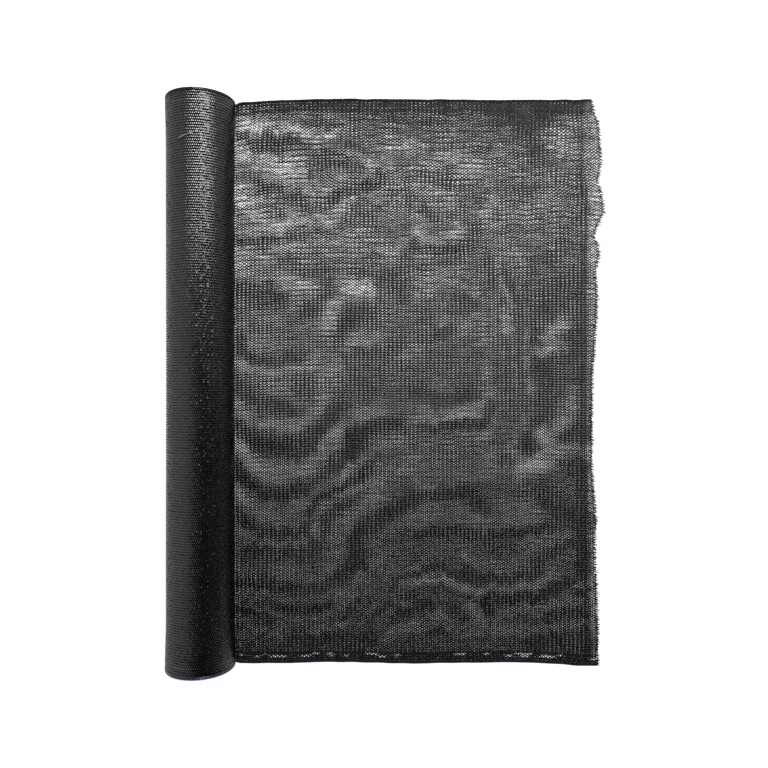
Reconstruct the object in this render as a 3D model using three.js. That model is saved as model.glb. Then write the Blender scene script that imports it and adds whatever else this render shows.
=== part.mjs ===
// Knitted privacy screen cloth, partly unrolled: a roll, the loose end that lies flat, and its frayed cut.
// Millimetres, +Z up. X runs from the roll to the cut end, Y from selvage to selvage, the ground is Z = 0.
import * as THREE from "three";

// Room that the cloth takes up as it lies
const LENGTH = 693; // from the roll's outer side to the longest yarn end
const SPAN = 918; // from selvage to selvage where the loose end is widest
const CLEARANCE = 0.3; // between neighbouring pieces

// The roll
const ROLL_LENGTH = 873; // winding tension has drawn the cloth in
const ROLL_CENTRE_Y = -3; // the loose end has crept a little towards +Y
const ROLL_RADIUS = 50.7; // halfway along the roll
const SELVAGE_BUILD_UP = 1.5; // extra radius at the ends, where thicker selvages lie on each other
const BUILD_UP_LENGTH = 80; // how far from each end the build-up dies away
const END_ROUNDING = 3; // soft corner of the wound selvages
const FLAT_SPOT_DEPTH = 0.6; // how far the roll's own weight flattens it
const ROLL_SIDES = 64;
const BUILD_UP_STEPS = 4;
const ROUNDING_STEPS = 2;

// The loose end
const CLOTH_THICKNESS = 1.4;
const SELVAGE_THICKNESS = 2;
const SELVAGE_WIDTH = 16;
const START_THICKNESS = 0.5; // wedge of cloth that slips in under the roll
const CONTACT = 0.4; // ripples lower than this lie on the ground
const FLARE = { upper: 18, lower: 15 }; // how much each selvage spreads as the cloth comes off the roll
const FLARE_END = 0.06; // share of the cloth's length over which it spreads
const COLUMNS = 26;
const ROWS = 74;

// The frayed cut
const FRAY_DEPTH = 13; // from the last whole stitch to the yarn ends
const STRIP_WIDTH = 3.2; // row of half-undone stitches that still holds the yarn ends
const FRAY_THICKNESS = 1.2;
const STRANDS = 218;
const STRAND_ROOT = 1.5;
const STRAND_TIP = 0.6;

const REACH = LENGTH / 2;
const END_RADIUS = ROLL_RADIUS + SELVAGE_BUILD_UP;
const AXIS_X = END_RADIUS - REACH;
const AXIS_Z = ROLL_RADIUS - FLAT_SPOT_DEPTH;

// How far each selvage lies inside the span, at equal steps from the roll to the cut
const SELVAGE_LINES = [
  { upper: 7.4, lower: 4.1 },
  { upper: 1.7, lower: 5 },
  { upper: 0, lower: 6.6 },
  { upper: 0.9, lower: 4.1 },
  { upper: 0.9, lower: 5 },
  { upper: 1.7, lower: 5.7 },
  { upper: 0.9, lower: 0 },
];

// How far the yarn ends fall short of the longest one, at places across the cloth
const CUT_LINE = [
  { across: -459, short: 9 },
  { across: -390, short: 9 },
  { across: -270, short: 14 },
  { across: -222, short: 12 },
  { across: -130, short: 19 },
  { across: -60, short: 19 },
  { across: 10, short: 18 },
  { across: 60, short: 14 },
  { across: 140, short: 9 },
  { across: 179, short: 13 },
  { across: 205, short: 6 },
  { across: 222, short: 8 },
  { across: 237, short: 16 },
  { across: 257, short: 8 },
  { across: 274, short: 0 },
  { across: 288, short: 0 },
  { across: 310, short: 3 },
  { across: 325, short: 9 },
  { across: 360, short: 3 },
  { across: 422, short: 8 },
  { across: 440, short: 16 },
  { across: 459, short: 19 },
];

// Ripples of the loose end: height, half width, where along the cloth each starts and stops (0 is the
// roll, 1 the cut), and the Y of its crest at equal steps from the roll to the cut
const RIPPLES = [
  { rise: 3.5, half: 18, from: 0, to: 0.42, crest: [402, 388, 372, 366, 366, 366, 366] },
  { rise: 4.5, half: 20, from: 0, to: 0.5, crest: [345, 318, 325, 352, 360, 360, 360] },
  { rise: 3.5, half: 20, from: 0, to: 0.36, crest: [240, 250, 264, 272, 272, 272, 272] },
  { rise: 4, half: 20, from: 0.45, to: 0.68, crest: [262, 262, 262, 238, 232, 256, 256] },
  { rise: 4.5, half: 20, from: 0.2, to: 0.4, crest: [20, 30, 108, 132, 132, 132, 132] },
  { rise: 4, half: 20, from: 0, to: 0.28, crest: [-58, -85, -60, -40, -40, -40, -40] },
  { rise: 6, half: 21, from: 0, to: 0.7, crest: [-133, -165, -80, -52, -57, -60, -60] },
  { rise: 4, half: 18, from: 0, to: 0.5, crest: [-205, -230, -143, -115, -110, -110, -110] },
  { rise: 6, half: 21, from: 0, to: 0.74, crest: [-288, -320, -246, -183, -163, -168, -170] },
  { rise: 4, half: 19, from: 0.72, to: 0.94, crest: [-150, -150, -150, -150, -152, -157, -140] },
  { rise: 4.5, half: 18, from: 0.36, to: 0.94, crest: [-300, -300, -272, -232, -232, -231, -228] },
  { rise: 4, half: 16, from: 0, to: 0.95, crest: [-350, -360, -346, -334, -345, -340, -322] },
];
const RIPPLE_FADE = 0.09; // share of the length over which a ripple rises or dies out
const FREE_OF_ROLL = { none: 22, full: 75 }; // distance from the roll's axis where ripples begin
const FREE_OF_CUT = { none: 36, full: 90 }; // distance from the last whole stitch where they are gone
const FREE_OF_SELVAGE = { none: 12, full: 40 };

// Yarn ends as they repeat along the cut: how much shorter and how far turned each one is
const YARN_ENDS = [
  { shorter: 0, turn: 0.02 },
  { shorter: 2.4, turn: -0.07 },
  { shorter: 0.9, turn: 0.06 },
  { shorter: 3.3, turn: 0 },
  { shorter: 1.6, turn: -0.05 },
  { shorter: 4, turn: 0.07 },
  { shorter: 0.4, turn: -0.02 },
];
const LEAN = { lower: 0.05, upper: -0.22 }; // sideways lean of the yarn ends, changing across the cloth

const { clamp, lerp, smoothstep } = THREE.MathUtils;

// Value of an evenly stepped list at a place from 0 to 1, on a smooth curve through its points
function smoothAt(values, place) {
  const last = values.length - 1;
  const step = Math.min(Math.floor(place * last), last - 1);
  const part = place * last - step;
  const [before, start, end, after] = [-1, 0, 1, 2].map((shift) => values[clamp(step + shift, 0, last)]);
  const startSlope = (end - before) / 2;
  const endSlope = (after - start) / 2;
  const bend = 2 * (start - end) + startSlope + endSlope;
  return start + part * (startSlope + part * (3 * (end - start) - 2 * startSlope - endSlope + part * bend));
}

// Shortfall of the cut at a Y, on straight lines between the table's rows
function shortAt(y) {
  const next = CUT_LINE.findIndex((row) => row.across > y);
  if (next === 0) {
    return CUT_LINE[0].short;
  }
  if (next < 0) {
    return CUT_LINE.at(-1).short;
  }
  const [low, high] = [CUT_LINE[next - 1], CUT_LINE[next]];
  return lerp(low.short, high.short, (y - low.across) / (high.across - low.across));
}

function rollRadiusAt(y) {
  const fromEnd = ROLL_LENGTH / 2 - Math.abs(y - ROLL_CENTRE_Y);
  return END_RADIUS - SELVAGE_BUILD_UP * smoothstep(fromEnd, 0, BUILD_UP_LENGTH);
}

// X at which the roll's underside is a given height above the ground
function underRollAt(height, y) {
  return AXIS_X + Math.sqrt(rollRadiusAt(y) ** 2 - (AXIS_Z - height) ** 2);
}

function lastStitchAt(y) {
  return REACH - shortAt(y) - FRAY_DEPTH;
}

// The roll is turned about its own axis, then pressed flat where it meets the ground
function makeRoll() {
  const half = ROLL_LENGTH / 2;
  const end = [];
  for (let i = 0; i <= ROUNDING_STEPS; i += 1) {
    const turn = ((i / ROUNDING_STEPS) * Math.PI) / 2;
    const radius = END_RADIUS - END_ROUNDING * (1 - Math.sin(turn));
    end.push(new THREE.Vector2(radius, half - END_ROUNDING * (1 - Math.cos(turn))));
  }
  for (let i = 1; i <= BUILD_UP_STEPS; i += 1) {
    const fromEnd = lerp(END_ROUNDING, BUILD_UP_LENGTH, i / BUILD_UP_STEPS);
    end.push(new THREE.Vector2(rollRadiusAt(ROLL_CENTRE_Y + half - fromEnd), half - fromEnd));
  }
  const upperHalf = [new THREE.Vector2(0, half), ...end].reverse();
  const lowerHalf = upperHalf.map((point) => new THREE.Vector2(point.x, -point.y)).reverse();
  const geometry = new THREE.LatheGeometry([...lowerHalf, ...upperHalf], ROLL_SIDES);
  const points = geometry.getAttribute("position");
  for (let i = 0; i < points.count; i += 1) {
    points.setZ(i, Math.max(points.getZ(i), -AXIS_Z));
  }
  const roll = new THREE.Mesh(geometry, knitMaterial(0x17181a, 0.38));
  roll.name = "roll";
  roll.position.set(AXIS_X, ROLL_CENTRE_Y, AXIS_Z);
  return roll;
}

// Height of the cloth's underside above the ground, from all the ripples together
function rippleHeight(x, y, place, fromSelvage) {
  let height = 0;
  for (const ripple of RIPPLES) {
    const across = (y - smoothAt(ripple.crest, place)) / ripple.half;
    const begun = smoothstep(place, ripple.from - RIPPLE_FADE, ripple.from + RIPPLE_FADE);
    const ended = smoothstep(place, ripple.to - RIPPLE_FADE, ripple.to + RIPPLE_FADE);
    height += ripple.rise * begun * (1 - ended) * Math.exp(-across * across);
  }
  const free =
    smoothstep(x - AXIS_X, FREE_OF_ROLL.none, FREE_OF_ROLL.full) *
    smoothstep(lastStitchAt(y) - x, FREE_OF_CUT.none, FREE_OF_CUT.full) *
    smoothstep(fromSelvage, FREE_OF_SELVAGE.none, FREE_OF_SELVAGE.full);
  return Math.max(0, height * free - CONTACT);
}

// Y of a row of the cloth: the selvages are the outermost rows, the rest share the width between them
function rowY(row, place) {
  const drawnIn = 1 - smoothstep(place, 0, FLARE_END);
  const upper = SPAN / 2 - smoothAt(SELVAGE_LINES.map((line) => line.upper), place) - FLARE.upper * drawnIn;
  const lower = smoothAt(SELVAGE_LINES.map((line) => line.lower), place) - SPAN / 2 + FLARE.lower * drawnIn;
  if (row === 0) {
    return lower;
  }
  if (row === ROWS) {
    return upper;
  }
  return lerp(lower + SELVAGE_WIDTH, upper - SELVAGE_WIDTH, (row - 1) / (ROWS - 2));
}

// One point of the cloth's upper or lower face
function clothPoint(column, row, onTop) {
  const inSelvage = row <= 1 || row >= ROWS - 1;
  const thickness = inSelvage ? SELVAGE_THICKNESS : CLOTH_THICKNESS;
  const place = Math.max(0, (column - 1) / (COLUMNS - 1));
  const y = rowY(row, place);
  if (column === 0) {
    return [underRollAt(START_THICKNESS + CLEARANCE, y), y, onTop ? START_THICKNESS : 0];
  }
  const x = lerp(underRollAt(thickness + CLEARANCE, y), lastStitchAt(y), place);
  const fromSelvage = Math.min(rowY(ROWS, place) - y, y - rowY(0, place));
  const underside = rippleHeight(x, y, place, fromSelvage);
  return [x, y, underside + (onTop ? thickness : 0)];
}

function makeLooseEnd() {
  const geometry = new THREE.BoxGeometry(1, 1, 1, COLUMNS, ROWS, 1);
  const points = geometry.getAttribute("position");
  for (let i = 0; i < points.count; i += 1) {
    const column = Math.round((points.getX(i) + 0.5) * COLUMNS);
    const row = Math.round((points.getY(i) + 0.5) * ROWS);
    points.setXYZ(i, ...clothPoint(column, row, points.getZ(i) > 0));
  }
  const cloth = new THREE.Mesh(geometry, knitMaterial(0x1c1d1f, 0.42));
  cloth.name = "loose_end";
  return cloth;
}

// A comb: its back follows the last whole stitches, its teeth are the yarn ends
function makeFrayedEnd() {
  const upper = rowY(ROWS, 1);
  const lower = rowY(0, 1);
  const outline = new THREE.Shape();
  outline.moveTo(lastStitchAt(lower) + CLEARANCE, lower);
  for (let row = 1; row <= ROWS; row += 1) {
    const y = rowY(row, 1);
    outline.lineTo(lastStitchAt(y) + CLEARANCE, y);
  }
  const pitch = (upper - lower) / STRANDS;
  outline.lineTo(lastStitchAt(upper) + CLEARANCE + STRIP_WIDTH, upper);
  for (let i = 0; i < STRANDS; i += 1) {
    const yarn = YARN_ENDS[i % YARN_ENDS.length];
    const y = upper - (i + 0.5) * pitch;
    const root = lastStitchAt(y) + CLEARANCE + STRIP_WIDTH;
    const tip = REACH - shortAt(y) - yarn.shorter;
    const lean = lerp(LEAN.upper, LEAN.lower, i / STRANDS) + yarn.turn;
    const tipY = y + lean * (tip - root);
    outline.lineTo(root, y + STRAND_ROOT / 2);
    outline.lineTo(tip, tipY + STRAND_TIP / 2);
    outline.lineTo(tip, tipY - STRAND_TIP / 2);
    outline.lineTo(root, y - STRAND_ROOT / 2);
  }
  outline.lineTo(lastStitchAt(lower) + CLEARANCE + STRIP_WIDTH, lower);
  const geometry = new THREE.ExtrudeGeometry(outline, { depth: FRAY_THICKNESS, bevelEnabled: false });
  const fray = new THREE.Mesh(geometry, knitMaterial(0x242527, 0.45));
  fray.name = "frayed_end";
  return fray;
}

function knitMaterial(color, roughness) {
  return new THREE.MeshStandardMaterial({ color, roughness, metalness: 0 });
}

const privacyScreen = new THREE.Group();
privacyScreen.add(makeRoll(), makeLooseEnd(), makeFrayedEnd());

export default privacyScreen;
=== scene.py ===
import math

import bpy
import numpy as np
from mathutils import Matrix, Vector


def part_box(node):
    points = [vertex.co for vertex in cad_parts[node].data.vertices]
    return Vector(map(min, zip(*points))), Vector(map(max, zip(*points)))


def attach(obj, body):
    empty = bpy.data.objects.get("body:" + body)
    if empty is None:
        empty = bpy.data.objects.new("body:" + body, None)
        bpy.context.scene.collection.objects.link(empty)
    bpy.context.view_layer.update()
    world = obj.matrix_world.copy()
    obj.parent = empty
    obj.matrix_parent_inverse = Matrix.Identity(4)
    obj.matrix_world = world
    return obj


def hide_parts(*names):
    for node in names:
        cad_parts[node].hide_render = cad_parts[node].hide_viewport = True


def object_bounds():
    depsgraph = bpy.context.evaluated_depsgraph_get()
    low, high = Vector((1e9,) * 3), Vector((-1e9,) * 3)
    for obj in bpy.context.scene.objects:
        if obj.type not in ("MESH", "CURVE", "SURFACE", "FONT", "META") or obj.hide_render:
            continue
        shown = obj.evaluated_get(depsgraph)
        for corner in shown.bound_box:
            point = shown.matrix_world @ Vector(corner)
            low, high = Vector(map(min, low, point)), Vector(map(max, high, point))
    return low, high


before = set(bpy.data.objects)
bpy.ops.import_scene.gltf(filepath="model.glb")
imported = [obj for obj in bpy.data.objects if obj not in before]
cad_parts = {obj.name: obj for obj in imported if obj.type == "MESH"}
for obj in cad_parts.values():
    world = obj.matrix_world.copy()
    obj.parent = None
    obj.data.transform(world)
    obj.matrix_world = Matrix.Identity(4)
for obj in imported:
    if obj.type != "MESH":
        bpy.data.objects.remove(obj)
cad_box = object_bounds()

# Wound turns
# The rolled-up part of the cloth: about eighty turns of black knitted polyethylene, wound tight by
# machine with no core. The edges of the turns show at both ends, the rest lies under the outermost turn.
roll_low, roll_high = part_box("roll")
end_radius = (roll_high.x - roll_low.x) / 2
axis_x = (roll_high.x + roll_low.x) / 2
axis_z = roll_high.z - end_radius
roll_middle = (roll_high.y + roll_low.y) / 2
roll_half = (roll_high.y - roll_low.y) / 2
selvage_build_up = 0.0015
build_up_length = 0.08
outer_turn_depth = 0.0008
eye_radius = 0.0055
eye_depth = 0.03
rim_rounding = 0.0015
body_inset = 0.003
wound_clear = 0.0002
turn_thickness = 0.00056
turn_ridge = 0.0006
end_depth = 0.0013
end_dish = 0.003
oval_wobble = 0.5
oval_twist = 9
corner_wobble = 0.3
corner_turn = 1
turn_creep = 0.0006
creep_limits = (-0.0016, 0.0012)
numbered_turns = 120
drift_turns = 7
wander_places = 16
wander_share = 0.6
rings_per_turn = 3
turn_sides = 144
body_rings = 25
map_slant = 0.5
wind = np.random.default_rng(8)


def smooth_step(value, low, high):
    """0 below low, 1 above high, and a soft rise between them."""
    share = np.clip((value - low) / (high - low), 0, 1)
    return share * share * (3 - 2 * share)


def roll_radius(y):
    """Radius of the roll, which is thicker at its ends, where the selvages lie on each other."""
    from_end = roll_half - np.abs(y - roll_middle)
    return end_radius - selvage_build_up * smooth_step(from_end, 0, build_up_length)


def edge_creep(wound):
    """Sideways creep of the turns' edges: a drift that neighbours share, and each one's own wander."""
    drift = np.convolve(wind.normal(0, 1, numbered_turns), np.hanning(drift_turns), "same")
    places = numbered_turns * wander_places
    wander = wind.normal(0, 1, places)
    shared = np.interp(wound, np.arange(numbered_turns), drift)
    return shared + wander_share * np.interp(wound * wander_places, np.arange(places), wander)


def turn_edges(radius, angle):
    """How far the edges of the wound turns stand out of the roll's end."""
    oval = oval_wobble * np.sin(2 * angle + oval_twist * radius / end_radius)
    wobble = oval + corner_wobble * np.sin(3 * angle + corner_turn)
    spiral = radius / turn_thickness - angle / (2 * np.pi) + wobble
    turn = np.floor(spiral)
    crown = np.sqrt(np.clip(1 - (2 * (spiral - turn) - 1) ** 2, 0, 1))
    creep = np.clip(turn_creep * edge_creep(turn + angle / (2 * np.pi)), *creep_limits)
    dish = end_dish * (1 - radius / end_radius) ** 2
    return turn_ridge * (crown - 1) + creep - end_depth - dish


def angles(sides):
    return np.linspace(0, 2 * np.pi, sides, endpoint=False)


def wound_rings():
    """Rings of points from one eye of the roll, over its end, along its body and back in at the other."""
    angle = angles(turn_sides)
    rim = end_radius - outer_turn_depth - rim_rounding
    face_radius = np.arange(eye_radius, rim, turn_thickness / rings_per_turn)[:, None] + 0 * angle
    face_out = turn_edges(face_radius, angle[None, :])
    eye_out = np.full((1, turn_sides), -eye_depth)
    end_radii = np.vstack([np.full((1, turn_sides), eye_radius), face_radius])
    end_out = np.vstack([eye_out, face_out])
    body_end = roll_half - body_inset
    along = np.linspace(-body_end, body_end, body_rings)[:, None] + 0 * angle
    body_radii = roll_radius(along + roll_middle) - outer_turn_depth
    radii = np.vstack([end_radii, body_radii, end_radii[::-1]])
    y = np.vstack([-roll_half - end_out, along, roll_half + end_out[::-1]]) + roll_middle
    x = axis_x + radii * np.sin(angle)
    z = np.maximum(axis_z - radii * np.cos(angle), wound_clear)
    return np.stack([x, y, z], axis=-1)


def grid_faces(rows, steps):
    """Four-sided faces between the neighbouring points of a stack of closed rings."""
    row = np.arange(rows - 1)[:, None]
    step = np.arange(steps)[None, :]
    after = (step + 1) % steps
    quads = np.stack(np.broadcast_arrays(row * steps + step, row * steps + after,
                                         (row + 1) * steps + after, (row + 1) * steps + step), axis=-1)
    return quads.reshape(-1, 4)


def eye_floor(centre, first):
    """Closes the eye's inner end with a fan of four-sided faces about one point."""
    side = np.arange(0, turn_sides, 2)
    return np.column_stack([np.full(side.size, centre), first + side, first + side + 1,
                            first + (side + 2) % turn_sides])


def add_object(name, data):
    thing = bpy.data.objects.new(name, data)
    bpy.context.scene.collection.objects.link(thing)
    return thing


def add_mesh(name, points, faces, material):
    mesh = bpy.data.meshes.new(name)
    mesh.from_pydata(points, [], faces)
    mesh.materials.append(material)
    return add_object(name, mesh)


def new_piece(name, points, faces, material, bake_map):
    """One smooth mesh of the points that its faces use, with a flat map of the given two coordinates."""
    used, numbers = np.unique(faces, return_inverse=True)
    faces = numbers.reshape(faces.shape)
    piece = add_mesh(name, points[used], faces, material)
    piece.data.polygons.foreach_set("use_smooth", np.ones(len(faces), bool))
    flat = bake_map[used]
    flat = (flat - flat.min(0)) / (flat.max(0) - flat.min(0))
    layer = piece.data.uv_layers.new(name="OFBake")
    layer.uv.foreach_set("vector", flat[faces.ravel()].astype(np.float32).ravel())
    return piece


def set_inputs(node, values):
    for name, value in values.items():
        node.inputs[name].default_value = value


def plain_material(name, values):
    material = bpy.data.materials.new(name)
    material.use_nodes = True
    set_inputs(material.node_tree.nodes["Principled BSDF"], values)
    return material


yarn_ior = 1.5
patch_noise = {"Scale": 38, "Detail": 5}
tone_stops = (0.3, 0.72)
gloss_range = {"From Min": 0.3, "From Max": 0.7}
grain_noise = {"Scale": 900, "Detail": 2}
grain_depth = 0.0004


def noise_node(tree, place, values):
    noise = tree.nodes.new("ShaderNodeTexNoise")
    set_inputs(noise, values)
    tree.links.new(place.outputs["Object"], noise.inputs["Vector"])
    return noise


def yarn_material(name, dark, light, smooth, rough, shine, grain=0.1):
    """Black polyethylene: two close tones in soft patches, gloss that changes with them, a fine grain."""
    material = plain_material(name, {"IOR": yarn_ior, "Specular IOR Level": shine})
    tree = material.node_tree
    nodes = tree.nodes
    links = tree.links
    shader = nodes["Principled BSDF"]
    place = nodes.new("ShaderNodeTexCoord")
    patches = noise_node(tree, place, patch_noise)
    tone = nodes.new("ShaderNodeValToRGB")
    for stop, position, colour in zip(tone.color_ramp.elements, tone_stops, (dark, light)):
        stop.position = position
        stop.color = (*colour, 1)
    links.new(patches.outputs["Fac"], tone.inputs["Fac"])
    links.new(tone.outputs["Color"], shader.inputs["Base Color"])
    gloss = nodes.new("ShaderNodeMapRange")
    set_inputs(gloss, {**gloss_range, "To Min": smooth, "To Max": rough})
    links.new(patches.outputs["Fac"], gloss.inputs["Value"])
    links.new(gloss.outputs["Result"], shader.inputs["Roughness"])
    fibres = noise_node(tree, place, grain_noise)
    relief = nodes.new("ShaderNodeBump")
    set_inputs(relief, {"Strength": grain, "Distance": grain_depth})
    links.new(fibres.outputs["Fac"], relief.inputs["Height"])
    links.new(relief.outputs["Normal"], shader.inputs["Normal"])
    return material


rings = wound_rings()
eye_centres = rings[[0, -1]].mean(axis=1)
wound_points = np.vstack([rings.reshape(-1, 3), eye_centres])
wound_faces = np.vstack([grid_faces(len(rings), turn_sides),
                         eye_floor(rings.size // 3, 0),
                         eye_floor(rings.size // 3 + 1, (len(rings) - 1) * turn_sides)])
wound_map = np.column_stack([wound_points[:, 1] * map_slant + wound_points[:, 2],
                             wound_points[:, 0] + wound_points[:, 1]])
wound_black = yarn_material("wound_black", dark=(0.002, 0.002, 0.0025), light=(0.005, 0.005, 0.006),
                            smooth=0.5, rough=0.7, shine=0.2, grain=0.2)
wound_turns = new_piece("wound_turns", wound_points, wound_faces, wound_black, wound_map)
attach(wound_turns, "root")
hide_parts("roll")

# Outermost turn
# The one turn of the roll that shows its face. Flat black tapes zigzag between columns of chain stitch,
# and both are knitted together on a warp knitting machine, so the cloth is open between them.
wales = 222
gaps = wales - 1
course = 0.0034
wrap_courses = 100
wrap_steps = 2 * wrap_courses + 1
wrap_inset = 0.001
wrap_clear = 0.0003
wrap_swing = 0.94
wrap_half = 0.56
wrap_uneven = 0.03
wrap_selvage = 0.22
selvage_wales = (2, 6)
tape_low = 0.00035
wrap_arch = 0.00012
wrap_tilt = 0.0002
wrap_chain_half = 0.075
wrap_stagger = 0.5
heavy_chain = 4
heavy_share = 1.6
leg_roll = 0.00006
stitch_lean = 0.02
wrap_chain = [
    {"along": -0.25, "spread": 0.045, "lift": 0.001},
    {"along": 0.35, "spread": 0.1, "lift": 0.0016},
    {"along": 0.95, "spread": 0.15, "lift": 0.0004},
]
draw = np.random.default_rng(21)
wale_mood = draw.normal(0, 1, wales)


def tape_grid(courses, swing_share, shape, rise, tilt):
    """Course and wale numbers and lift of both edges of every inlaid tape, point by point.

    A tape swings across its gap and back in two courses. The shape gives its half width and its bow.
    """
    step = np.arange(2 * courses + 1) / 2
    swing = np.abs(step % 2 - 1)
    wale = np.arange(gaps)[:, None] + 0.5 + swing_share * (swing - 0.5)[None, :]
    edge = np.array([-1, 1])
    half, bow = shape(step[None, :] + 0 * wale, wale)
    along = (step[None, :] - bow * np.sin(np.pi * step))[..., None] + edge * half[..., None]
    arch = tape_low + rise * (1 - np.abs(2 * swing - 1))
    lift = arch[None, :, None] + edge * tilt[..., None]
    return along, np.broadcast_to(wale[..., None], along.shape), lift


def strip_faces(strips, steps):
    """Faces of flat strips, each a row of point pairs."""
    first = (np.arange(strips)[:, None] * steps + np.arange(steps - 1)[None, :]).ravel() * 2
    return np.column_stack([first, first + 1, first + 3, first + 2])


def chain_column(chain, name):
    return np.array([row[name] for row in chain])[:, None]


def chain_grid(girth, courses, chain, half, stagger, lean):
    """Course and wale numbers and lift of the points along both legs of every chain stitch.

    The girth widens the stitches of each column, and the stagger moves every second column along.
    """
    column = np.arange(wales)[:, None, None, None, None]
    girth = girth[:, None, None, None, None]
    stitch = np.arange(courses)[None, :, None, None, None] + stagger * (column % 2)
    leg = np.array([-1, 1])[None, None, :, None, None]
    side = np.array([-1, 1])
    heavy = (column == heavy_chain) | (column == wales - 1 - heavy_chain)
    half = half * np.where(heavy, heavy_share, 1)
    spread = girth * (leg * chain_column(chain, "spread") + side * half)
    wale = column + spread + lean[:, :, None, None, None]
    along = stitch + chain_column(chain, "along") + 0 * wale
    lift = chain_column(chain, "lift") - leg_roll * (side * leg == 1) + 0 * wale
    return along, wale, lift


def knit_map(along, wale):
    return np.column_stack([along.ravel(), wale.ravel()])


def wrap_place(along, wale, lift):
    """Points on the outermost turn, which starts under the roll and climbs its far side."""
    angle = along * 2 * np.pi / wrap_courses
    y = roll_middle + (wale / (wales - 1) - 0.5) * 2 * (roll_half - wrap_inset)
    radius = roll_radius(y) - outer_turn_depth + lift
    x = axis_x - radius * np.sin(angle)
    z = np.maximum(axis_z - radius * np.cos(angle), wrap_clear)
    return np.stack([x, y, z], axis=-1).reshape(-1, 3)


def selvage_share(wale):
    """1 at the cloth's long edges, 0 from a few stitch columns in."""
    from_edge = np.minimum(wale, wales - 1 - wale)
    return 1 - smooth_step(from_edge, *selvage_wales)


def wrap_width(along, wale):
    """Half width of the outermost turn's tapes, in courses. They don't bow."""
    uneven = wrap_uneven * wale_mood[np.clip(wale.astype(int), 0, wales - 1)]
    return wrap_half + uneven + wrap_selvage * selvage_share(wale), 0 * wale


tilt = wrap_tilt * draw.normal(0, 1, (gaps, wrap_steps))
along, wale, lift = tape_grid(wrap_courses, wrap_swing, wrap_width, wrap_arch, tilt)
deep_black = {"dark": (0.001, 0.001, 0.0013), "light": (0.003, 0.003, 0.0035)}
wrap_black = yarn_material("wrap_black", **deep_black, smooth=0.2, rough=0.28, shine=0.3, grain=0.2)
wrap_tapes = new_piece("wrap_tapes", wrap_place(along, wale, lift), strip_faces(gaps, wrap_steps),
                       wrap_black, knit_map(along, wale))
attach(wrap_tapes, "root")

lean = stitch_lean * draw.normal(0, 1, (wales, wrap_courses))
girth = np.ones(wales)
along, wale, lift = chain_grid(girth, wrap_courses, wrap_chain, wrap_chain_half, wrap_stagger, lean)
chain_black = yarn_material("chain_black", **deep_black, smooth=0.16, rough=0.24, shine=1, grain=0.2)
legs = 2 * wales * wrap_courses
wrap_chains = new_piece("wrap_chains", wrap_place(along, wale, lift), strip_faces(legs, len(wrap_chain)),
                        chain_black, knit_map(along, wale))
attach(wrap_chains, "root")

# Snagged tape
# One tape of the outermost turn that something has caught near the roll's upper end. It stands out of
# the knit in a low loop and is still held at both ends. Its pale grey colour is a painted highlight.
snag_along = (43, 50.6)
snag_wale = (202.2, 204.8)
snag_height = 0.004
snag_peak = 0.2
snag_half = 0.17
snag_steps = 13
part = np.linspace(0, 1, snag_steps)[:, None]
edge = np.array([-snag_half, snag_half])
along = snag_along[0] + (snag_along[1] - snag_along[0]) * part + 0 * edge
wale = snag_wale[0] + (snag_wale[1] - snag_wale[0]) * part + edge
rise = np.minimum(part / snag_peak, (1 - part) / (1 - snag_peak))
lift = wrap_chain[0]["lift"] + snag_height * rise + 0 * edge
# Pale grey tones for the snagged tape: a painted highlight, not the yarn's own colour.
snag_painted_highlight = yarn_material("snag_painted_highlight", dark=(0.05, 0.05, 0.055), light=(0.16, 0.16, 0.17),
                           smooth=0.3, rough=0.4, shine=0.8, grain=0.2)
snagged_tape = new_piece("snagged_tape", wrap_place(along, wale, lift), strip_faces(1, snag_steps),
                         snag_painted_highlight, knit_map(along, wale))
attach(snagged_tape, "root")

# Selvage of the outermost turn
# Both long edges of the cloth end in a few heavier chains that keep the knit from running, black along the
# upper edge and blue-black along the lower. On the roll they make a ribbed rim round each end.
cord_half = 0.0008
cord_rib = 0.2
cord_sides = 6
cord_steps = 3
lower_cords = [-0.1, 0.3, 0.7]
upper_rim_cords = [wales - 0.6, wales - 1, wales - 1.4]
rim_tint = (0.5, 0.68, 1, 1)
rim_navy = yarn_material("rim_navy", dark=(0.0015, 0.003, 0.008), light=(0.003, 0.006, 0.014),
                         smooth=0.25, rough=0.35, shine=1)
set_inputs(rim_navy.node_tree.nodes["Principled BSDF"], {"Specular Tint": rim_tint})
selvage_black = yarn_material("selvage_black", **deep_black, smooth=0.4, rough=0.55, shine=0.2)


def cord_grid(cords, courses):
    """Course and wale numbers and lift of ribbed cords along one edge of the cloth."""
    row = np.array(cords)[:, None, None]
    step = np.arange(courses * cord_steps + 1)[None, :, None] / cord_steps
    turn = angles(cord_sides)[None, None, :]
    half = cord_half * (1 + cord_rib * np.cos(2 * np.pi * (step + 0.5 * row)))
    wale = row + half * np.cos(turn) * (wales - 1) / (2 * roll_half)
    return step + 0 * wale, wale, cord_half + half * np.sin(turn)


def cord_faces(cords, courses):
    rings = courses * cord_steps + 1
    one = grid_faces(rings, cord_sides)
    return np.vstack([one + number * rings * cord_sides for number in range(len(cords))])


rims = (("lower_rim", lower_cords, rim_navy), ("upper_rim", upper_rim_cords, selvage_black))
for name, cords, material in rims:
    along, wale, lift = cord_grid(cords, wrap_courses)
    rim = new_piece(name, wrap_place(along, wale, lift), cord_faces(cords, wrap_courses), material,
                    knit_map(along, wale))
    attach(rim, "root")

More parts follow.
